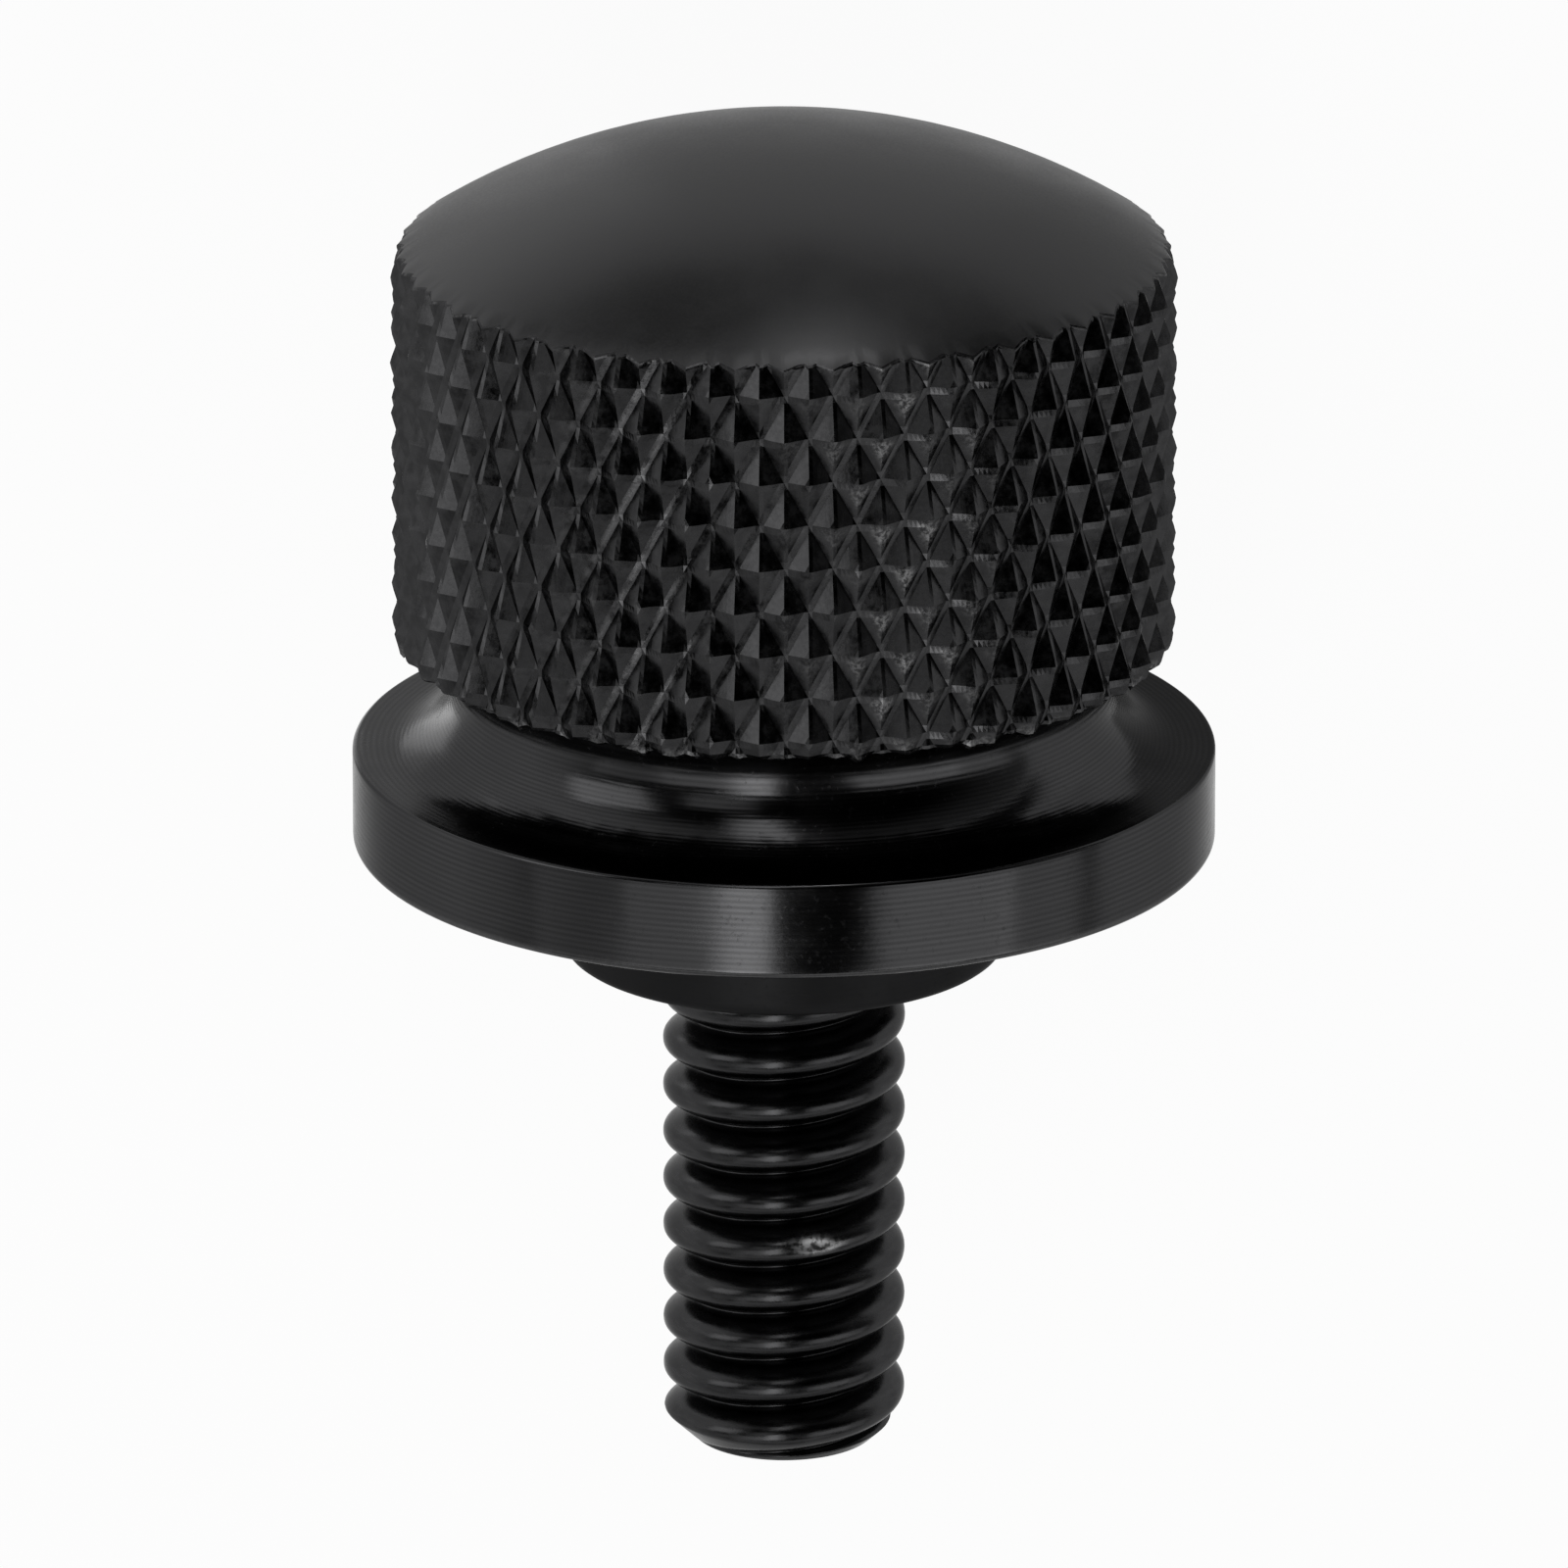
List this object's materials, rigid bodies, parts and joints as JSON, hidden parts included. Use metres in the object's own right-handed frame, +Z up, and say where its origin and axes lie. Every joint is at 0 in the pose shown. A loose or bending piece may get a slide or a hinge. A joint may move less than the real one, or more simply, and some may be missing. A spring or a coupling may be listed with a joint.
{
  "type": "seat tab screw",
  "caption": "Black one-piece thumb screw with a domed, diamond-knurled head, coved neck, flange, locating shoulder and threaded shank, for holding a seat tab.",
  "frame": {"origin": "on the surface that the screw lies on, under the middle of its length and width", "axes": "+Z up; +Y towards the head, along the screw as it lies; +X across it. The screw's axis lies in the YZ plane and falls 4.6 degrees towards the head"},
  "size_m": [0.022, 0.035, 0.0221],
  "materials": {
    "black_metal": "black anodised, satin dome, turned flange with fine tool lines"
  },
  "bodies": {
    "root": {"seat_tab_screw": "black_metal"}
  },
  "joints": []
}
